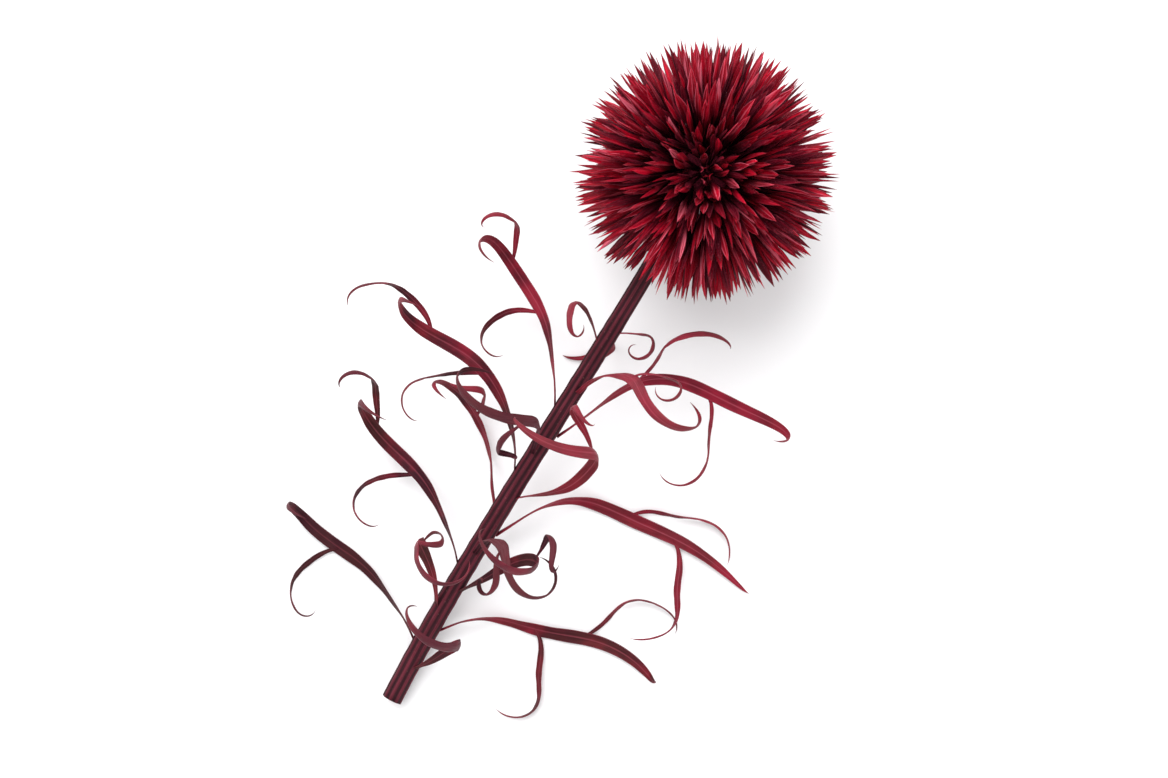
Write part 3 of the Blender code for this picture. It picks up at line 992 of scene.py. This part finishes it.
def stem_corners():
    """The four control points of the stem's line, from the head's centre to the cut end."""
    drop = HEAD_CENTRE.z - STEM_CUT_RADIUS
    end = Vector((HEAD_CENTRE.x - 0.03 * STEM_RUN, HEAD_CENTRE.y - STEM_RUN, STEM_CUT_RADIUS))
    upper = HEAD_CENTRE + Vector((0, -0.34 * STEM_RUN, -0.35 * drop))
    lower = end + Vector((-0.01 * STEM_RUN, 0.30 * STEM_RUN, 0.06 * drop))
    return HEAD_CENTRE, upper, lower, end


def stem_point(t):
    """Centre and downward direction of the stem at t, from 0 at the head to 1 at the cut."""
    a, b, c, d = stem_corners()
    u = 1 - t
    place = a * u**3 + b * (3 * u * u * t) + c * (3 * u * t * t) + d * t**3
    direction = (b - a) * (u * u) + (c - b) * (2 * u * t) + (d - c) * (t * t)
    return place, direction.normalized()


def stem_radius(t):
    """The stem's radius at t, which grows evenly from the head to the cut."""
    return STEM_TOP_RADIUS + (STEM_CUT_RADIUS - STEM_TOP_RADIUS) * t


def across_and_up(direction):
    """Two directions square to a line: one level, one as near upwards as it can be."""
    across = direction.cross(Vector((0, 0, 1))).normalized()
    return across, across.cross(direction).normalized()


# --------------------------------------------------------------------------- florets

HEAD_SEED = 11
BARE_CONE = math.radians(13)  # round the stem, where no bract grows
BUNCH_JITTER = 0.05  # radians
BRACT_JITTER = 0.035
HAIR_JITTER = 0.10
SHORT_REACH = (0.70, 0.92)  # where bracts and hairs end, as shares of the head's radius
LONG_REACH = (0.93, 1.0)
HAIR_REACH = (0.55, 0.84)
FLORET_RISE = 0.0004  # from the receptacle to the bracts' feet
FOOT_PULL = 0.45  # how far the bracts' feet are drawn in to the middle of their floret
BASE_RADIUS = 0.00125
NEARLY_ALONG = 0.9999  # cosine between two directions that count as the same


def spiral(places, number, axis):
    """A direction on a spiral that covers a ball evenly, starting at axis."""
    across = axis.orthogonal().normalized()
    other = axis.cross(across)
    height = 1 - (2 * number + 1) / places
    ring = math.sqrt(1 - height * height)
    turn = number * GOLDEN_ANGLE
    return (height * axis + ring * (math.cos(turn) * across + math.sin(turn) * other)).normalized()


def reach_to(direction, share_of_radius):
    """How far from the head's centre a bract ends: no further than the surface below."""
    reach = HEAD_RADIUS * share_of_radius
    if direction.z < 0:
        reach = min(reach, HEAD_CENTRE.z / -direction.z)
    return reach


def jittered(direction, amount, luck):
    """The direction, turned by about amount radians at random."""
    offset = Vector((luck.gauss(0, 1), luck.gauss(0, 1), luck.gauss(0, 1)))
    return (direction + offset * (amount * 0.6)).normalized()


def square_to(heading, middle):
    """A direction square to the heading and to the middle line of its floret."""
    if heading.dot(middle) < NEARLY_ALONG:
        return heading.cross(middle).normalized()
    return heading.orthogonal().normalized()


def tuft_directions(middles, top, luck, head):
    """The directions of each floret's bracts, which cover the head and lean into bunches."""
    bunches = [jittered(spiral(head.clumps, i, top), BUNCH_JITTER, luck) for i in range(head.clumps)]
    tufts = [[] for _ in middles]
    for i in range(head.bracts):
        direction = jittered(spiral(head.bracts, i, top), BRACT_JITTER, luck)
        if direction.dot(-top) > math.cos(BARE_CONE):
            continue
        bunch = max(bunches, key=direction.dot)
        direction = direction.lerp(bunch, head.lean).normalized()
        nearest = max(range(len(middles)), key=lambda k: middles[k].dot(direction))
        tufts[nearest].append(direction)
    require(all(tufts), "a floret has no bracts")
    return tufts


def floret_points(middle, directions, luck, head):
    """A mesh of points with what each blade needs: where it starts, its heading and its length."""
    rows = []
    ground = RECEPTACLE_RADIUS + FLORET_RISE
    for direction in directions:
        short = luck.random() < head.short_share
        reach = reach_to(direction, luck.uniform(*(SHORT_REACH if short else LONG_REACH)))
        start = (middle * FOOT_PULL + direction * (1 - FOOT_PULL)).normalized()
        rows.append((HEAD_CENTRE + start * ground, HEAD_CENTRE + direction * reach, BRACT))
    for _ in range(head.hairs):
        direction = jittered(luck.choice(directions), HAIR_JITTER, luck)
        reach = reach_to(direction, luck.uniform(*HAIR_REACH))
        rows.append((HEAD_CENTRE + direction * ground, HEAD_CENTRE + direction * reach, HAIR))
    rows.append((HEAD_CENTRE + middle * ground, HEAD_CENTRE + middle * 2 * ground, BASE))
    headings = [(tip - foot).normalized() for foot, tip, _ in rows]
    return point_mesh(
        [foot for foot, _, _ in rows],
        ("heading", "FLOAT_VECTOR", headings),
        ("side", "FLOAT_VECTOR", [square_to(heading, middle) for heading in headings]),
        ("reach", "FLOAT", [(tip - foot).length for foot, tip, _ in rows]),
        ("kind", "INT", [kind for _, _, kind in rows]),
    )


class THISTLE_OT_florets(bpy.types.Operator):
    """Grow the tufts of bracts that cover the head"""

    bl_idname = "thistle.florets"
    bl_label = "Florets"

    def execute(self, context):
        head = context.scene.thistle_head
        top = -stem_point(0)[1]
        luck = random.Random(HEAD_SEED)
        middles = [spiral(FLORET_PLACES, i, top) for i in range(FLORETS)]
        tufts = tuft_directions(middles, top, luck, head)
        tree = floret_tree()
        values = {
            "Bract Width": head.blade_width,
            "Bract Thickness": head.blade_thickness,
            "Hair Width": head.hair_width,
            "Base Radius": BASE_RADIUS,
            "Bract Material": bract_material(head),
            "Hair Material": hair_material(head),
            "Base Material": base_material(head),
        }
        for number, (middle, directions) in enumerate(zip(middles, tufts), 1):
            name = f"bracts_{number:02d}"
            values["Seed"] = 1000 * number
            mesh = grown(name, floret_points(middle, directions, luck, head), tree, values)
            placed_piece(name, mesh, "bract", f"floret_{number:02d}")
        return {"FINISHED"}


# ------------------------------------------------------------------------------ stem

STEM_SINK = 0.8  # how far from the head's centre the stem ends, a share of the receptacle's radius
CUSHION_SPAN = 0.008  # how far the swelling at a leaf spreads, a share of the stem's line
CUSHION_SWELL = 0.04  # how thick that swelling is, a share of the stem's radius
PIT_WAVES = 23  # radians of pits over the receptacle's radius
PIT_DEPTH = 0.0001

# A point on the middle line of a stem or leaf, its two directions square to the line, half its
# width there and its heading
Station = namedtuple("Station", "point across face half heading")


def stem_stations():
    """The stem's stations from its cut end into the head, a little thicker at each leaf."""
    start = STEM_SINK * RECEPTACLE_RADIUS / STEM_RUN
    stations = []
    for i in range(STEM_SEGMENTS + 1):
        t = 1 - (1 - start) * i / STEM_SEGMENTS
        centre, down = stem_point(t)
        level, up = across_and_up(down)
        cushion = sum(math.exp(-((t - leaf.place) / CUSHION_SPAN) ** 2) for leaf in LEAVES)
        half = stem_radius(t) * (1 + CUSHION_SWELL * cushion)
        stations.append(Station(centre, level, up, half, -down))
    return stations


def spine_mesh(stations):
    """A mesh of points down the middle of a stem or leaf, with its directions and half width."""
    return point_mesh(
        [station.point for station in stations],
        ("wide", "FLOAT_VECTOR", [station.across for station in stations]),
        ("deep", "FLOAT_VECTOR", [station.face for station in stations]),
        ("half", "FLOAT", [station.half for station in stations]),
    )


def receptacle(material):
    """The round ground of the head, pitted where the florets stand."""
    mesh = bmesh.new()
    bmesh.ops.create_icosphere(mesh, subdivisions=4, radius=RECEPTACLE_RADIUS)
    for v in mesh.verts:
        direction = v.co.normalized()
        pits = math.prod(math.sin(part * PIT_WAVES) for part in direction)
        v.co = HEAD_CENTRE + direction * (RECEPTACLE_RADIUS - PIT_DEPTH + PIT_DEPTH * pits)
    for face in mesh.faces:
        face.smooth = True
    return finished_mesh("receptacle", mesh, material)


def finished_mesh(name, shape, material):
    """A mesh made of the shape, in its material."""
    made = bpy.data.meshes.new(name)
    shape.to_mesh(made)
    shape.free()
    made.materials.append(material)
    return made


class THISTLE_OT_stem(bpy.types.Operator):
    """Sweep the ribbed stem from its cut end into the head"""

    bl_idname = "thistle.stem"
    bl_label = "Stem"

    def execute(self, context):
        settings = context.scene.thistle_stem
        values = {
            "Ribs": settings.ribs,
            "Segments": STEM_SEGMENTS,
            "Rib Depth": settings.rib_depth,
            "Material": stem_material(settings),
        }
        mesh = grown("stem_skin", spine_mesh(stem_stations()), ribbed_stem_tree(), values)
        placed_piece("stem_skin", mesh, "stem", "stem")
        ground = base_material(context.scene.thistle_head)
        placed_piece("receptacle", receptacle(ground), "stem", "stem")
        return {"FINISHED"}


# ---------------------------------------------------------------------------- leaves

LEAF_SEED = 5
FINEST_HALF = 0.00003  # half the width of a ribbon's tip
WAVER_RATE = 11  # radians of waver from a ribbon's foot to its tip
WAVER_SHIFT = 40  # radians that the leaves' waver shifts by over the stem's whole line
FOOT_SINK = 0.0012  # how far a leaf's foot goes into the stem
WHOLE_MAP = ((0.0, 0.98),)
LOBED_MAP = ((0.0, 0.58), (0.60, 0.78), (0.80, 0.98))  # the leaf's part and each lobe's


def leaf_width_share(s):
    """The blade's width along the leaf: narrow at its foot, widest below the middle, fine at its tip."""
    rise = 0.42 + 0.58 * math.sin(0.5 * math.pi * min(1.0, s / LEAF_WIDEST))
    fall = math.cos(0.5 * math.pi * max(0.0, (s - LEAF_WIDEST) / (1 - LEAF_WIDEST))) ** 0.8
    return rise * fall


def above_surface(point, across, half):
    """The point itself, or a higher one where the blade would reach below the surface."""
    lowest = half * abs(across.z) + 0.5 * LEAF_THICKNESS
    gap = point.z - lowest
    height = lowest + 0.5 * (gap + math.hypot(gap, SURFACE_EASE))
    return Vector((point.x, point.y, height))


def walked(start, steps, leaf, phase):
    """Stations along a ribbon: it bends, sweeps, twists, wavers a little and curls up."""
    point, heading, across = start
    stations = []
    for i in range(steps + 1):
        s = i / steps
        face = heading.cross(across).normalized()
        half = max(0.5 * (leaf.width * MILLIMETRE) * leaf_width_share(s), FINEST_HALF)
        place = above_surface(point, across, half)
        stations.append(Station(place, across.copy(), face, half, heading.copy()))
        waver = LEAF_WAVER * math.cos(WAVER_RATE * s + phase)
        turn_over = (leaf.bend + leaf.curl * 3 * s * s - waver) / steps
        turn_side = (leaf.sweep + waver) / steps
        turn_round = leaf.twist * (0.5 + 1.5 * (1 - s) ** 2) / steps
        turn = (
            Matrix.Rotation(math.radians(turn_over), 3, -across)
            @ Matrix.Rotation(math.radians(turn_side), 3, face)
            @ Matrix.Rotation(math.radians(turn_round), 3, heading)
        )
        heading = (turn @ heading).normalized()
        across = (turn @ across).normalized()
        point = point + heading * (leaf.length * MILLIMETRE / steps)
    return stations


def leaf_stations(leaf):
    """The stations of a leaf, from its place and side on the stem to its tip."""
    centre, down = stem_point(leaf.place)
    level, up = across_and_up(down)
    side = math.radians(leaf.side)
    out = math.cos(side) * up - math.sin(side) * level
    along = -down
    heading = Matrix.Rotation(math.radians(leaf.rise), 3, along.cross(out)) @ along
    point = centre + out * (stem_radius(leaf.place) + LEAF_BASE_GAP + 0.5 * LEAF_THICKNESS)
    return walked((point, heading, out.cross(along)), LEAF_STEPS, leaf, WAVER_SHIFT * leaf.place)


def at_span(stations, span):
    """The station of a leaf at that span."""
    return stations[round(span * LEAF_STEPS / LEAF_SPANS)]


def lobe_stations(leaf, stations, lobe):
    """The stations of a side lobe, which leaves the blade's edge and bends as the leaf does."""
    hand = math.copysign(1, lobe)
    root = at_span(stations, abs(lobe) + 0.5)
    lean = Matrix.Rotation(hand * LOBE_ANGLE, 3, root.face)
    edge = root.point + root.across * (hand * root.half * 0.9)
    smaller = leaf._replace(
        length=leaf.length * LOBE_LENGTH,
        width=leaf.width * LOBE_WIDTH,
        bend=1.2 * leaf.bend,
        curl=1.1 * leaf.curl,
        sweep=0.4 * leaf.sweep,
        twist=-0.8 * leaf.twist,
    )
    start = (edge, lean @ root.heading, lean @ root.across)
    return walked(start, LOBE_STEPS, smaller, WAVER_SHIFT * leaf.place + lobe)


def sunk_leaf(stations):
    """A leaf's stations, with the first one moved back so that it grows out of the stem's skin."""
    foot = stations[0]
    away = (stations[2].point - foot.point).normalized()
    sunk = foot._replace(point=foot.point - away * FOOT_SINK, half=foot.half * 1.2)
    return [sunk, *stations[1:]]


def sunk_lobe(leaf, stations, lobe):
    """A lobe's stations, with the first one moved in to the midrib of its leaf."""
    foot, *others = lobe_stations(leaf, stations, lobe)
    midrib = at_span(stations, abs(lobe) + 0.1).point
    return [foot._replace(point=midrib, half=foot.half * 0.6), *others]


def joined(name, meshes, material):
    """Several meshes with the same attributes as one."""
    whole = bmesh.new()
    for mesh in meshes:
        whole.from_mesh(mesh)
        bpy.data.meshes.remove(mesh)
    return finished_mesh(name, whole, material)


class THISTLE_OT_leaves(bpy.types.Operator):
    """Sweep the ribbon leaves off the stem"""

    bl_idname = "thistle.leaves"
    bl_label = "Leaves"

    def execute(self, context):
        settings = context.scene.thistle_leaf
        material = leaf_material(settings)
        tree = ribbon_tree()
        luck = random.Random(LEAF_SEED)
        for number, leaf in enumerate(LEAVES, 1):
            stations = leaf_stations(leaf)
            spines = [sunk_leaf(stations)]
            spines += [sunk_lobe(leaf, stations, lobe) for lobe in leaf.lobes]
            values = {
                "Thickness": settings.thickness,
                "Channel": settings.channel,
                "Ripple": settings.ripple,
                "Tone": luck.random(),
                "Material": material,
            }
            ribbons = []
            for spine, (start, end) in zip(spines, LOBED_MAP if leaf.lobes else WHOLE_MAP):
                values.update({"Segments": len(spine) - 1, "Map Start": start, "Map End": end})
                ribbons.append(grown("ribbon", spine_mesh(spine), tree, values))
            name = f"blade_{number:02d}"
            placed_piece(name, joined(name, ribbons, material), "leaf", f"leaf_{number:02d}")
        return {"FINISHED"}


# ------------------------------------------------------------------------------ stage

FLOOR_HALF = 4.0  # from the middle of the floor to its edge
FLOOR_DROP = 0.0001  # below the flower, so that the two don't share a face
AIM = Vector((0, 0, 0.010))  # what the lights and the camera look at
KEY_PLACE = (-0.18, 0.42, 0.52)  # from AIM: to the camera's right, to its top, and upwards
KEY_SPREAD = math.radians(58)
FILL_PLACE = (0.55, -0.25, 0.45)
FILL_SPREAD = math.radians(48)
SENSOR = 36.0  # millimetres
LENS = 85.0
NEAREST_SEEN = 0.01
FURTHEST_SEEN = 20.0


def lay_floor(settings):
    """A plain pale floor, just under the flower."""
    far = FLOOR_HALF
    mesh = bpy.data.meshes.new("floor")
    mesh.from_pydata([(-far, -far, 0), (far, -far, 0), (far, far, 0), (-far, far, 0)], [], [(0, 1, 2, 3)])
    paint, _, shader = new_material("floor_paint", Roughness=0.9)
    shader["Base Color"].default_value = (*settings.floor, 1)
    mesh.materials.append(paint)
    floor = bpy.data.objects.new("floor", mesh)
    floor.location.z = -FLOOR_DROP
    bpy.context.scene.collection.objects.link(floor)


def light_sky(settings):
    """Even white light from all round."""
    world = bpy.data.worlds.new("studio")
    world.use_nodes = True
    background = world.node_tree.nodes["Background"].inputs
    background["Color"].default_value = (1, 1, 1, 1)
    background["Strength"].default_value = settings.sky
    bpy.context.scene.world = world


def hang_light(name, strength, spread, place, roll):
    """A soft light, from a place that turns with the camera."""
    right = Vector((math.cos(roll), math.sin(roll), 0))
    up = Vector((-math.sin(roll), math.cos(roll), 0))
    offset = right * place[0] + up * place[1] + Vector((0, 0, place[2]))
    light = bpy.data.lights.new(name, "SUN")
    light.energy = strength
    light.angle = spread
    lamp = bpy.data.objects.new(name, light)
    lamp.location = AIM + offset
    lamp.rotation_euler = (-offset).to_track_quat("-Z", "Y").to_euler()
    bpy.context.scene.collection.objects.link(lamp)


def set_camera(settings):
    """A camera that looks straight down on the flower, turned by its roll."""
    data = bpy.data.cameras.new("camera")
    data.sensor_width = SENSOR
    data.lens = LENS
    data.clip_start = NEAREST_SEEN
    data.clip_end = FURTHEST_SEEN
    camera = bpy.data.objects.new("camera", data)
    camera.location = AIM + Vector((0, 0, settings.view_width * LENS / SENSOR))
    camera.rotation_euler = (0, 0, settings.roll)
    bpy.context.scene.collection.objects.link(camera)
    bpy.context.scene.camera = camera


class THISTLE_OT_stage(bpy.types.Operator):
    """Lay the floor, hang the lights and set the camera"""

    bl_idname = "thistle.stage"
    bl_label = "Stage"

    def execute(self, context):
        settings = context.scene.thistle_stage
        context.scene.view_settings.view_transform = "Standard"
        lay_floor(settings)
        light_sky(settings)
        hang_light("key", settings.key, KEY_SPREAD, KEY_PLACE, settings.roll)
        hang_light("fill", settings.fill, FILL_SPREAD, FILL_PLACE, settings.roll)
        set_camera(settings)
        return {"FINISHED"}


class THISTLE_PT_flower(bpy.types.Panel):
    """Lists the flower's parts and their settings"""

    bl_idname = "THISTLE_PT_flower"
    bl_label = "Globe Thistle"
    bl_space_type = "VIEW_3D"
    bl_region_type = "UI"
    bl_category = "Thistle"

    def draw(self, context):
        for operator, settings in STEPS:
            box = self.layout.box()
            box.operator(operator)
            group = getattr(context.scene, settings)
            for name in group.__annotations__:
                box.prop(group, name)


STEPS = (
    ("thistle.florets", "thistle_head"),
    ("thistle.stem", "thistle_stem"),
    ("thistle.leaves", "thistle_leaf"),
    ("thistle.stage", "thistle_stage"),
)
GROUPS = {
    "thistle_head": ThistleHeadSettings,
    "thistle_stem": ThistleStemSettings,
    "thistle_leaf": ThistleLeafSettings,
    "thistle_stage": ThistleStageSettings,
}
CLASSES = (
    *GROUPS.values(),
    THISTLE_OT_florets,
    THISTLE_OT_stem,
    THISTLE_OT_leaves,
    THISTLE_OT_stage,
    THISTLE_PT_flower,
)


def register():
    """Adds the settings, operators and panel to Blender."""
    for item in CLASSES:
        bpy.utils.register_class(item)
    for name, group in GROUPS.items():
        setattr(bpy.types.Scene, name, PointerProperty(type=group))


def unregister():
    """Takes them out again."""
    for name in GROUPS:
        delattr(bpy.types.Scene, name)
    for item in reversed(CLASSES):
        bpy.utils.unregister_class(item)


def main():
    """Builds the flower and its stage."""
    register()
    bpy.ops.thistle.florets()
    bpy.ops.thistle.stem()
    bpy.ops.thistle.leaves()
    bpy.ops.thistle.stage()


if __name__ == "__main__":
    main()
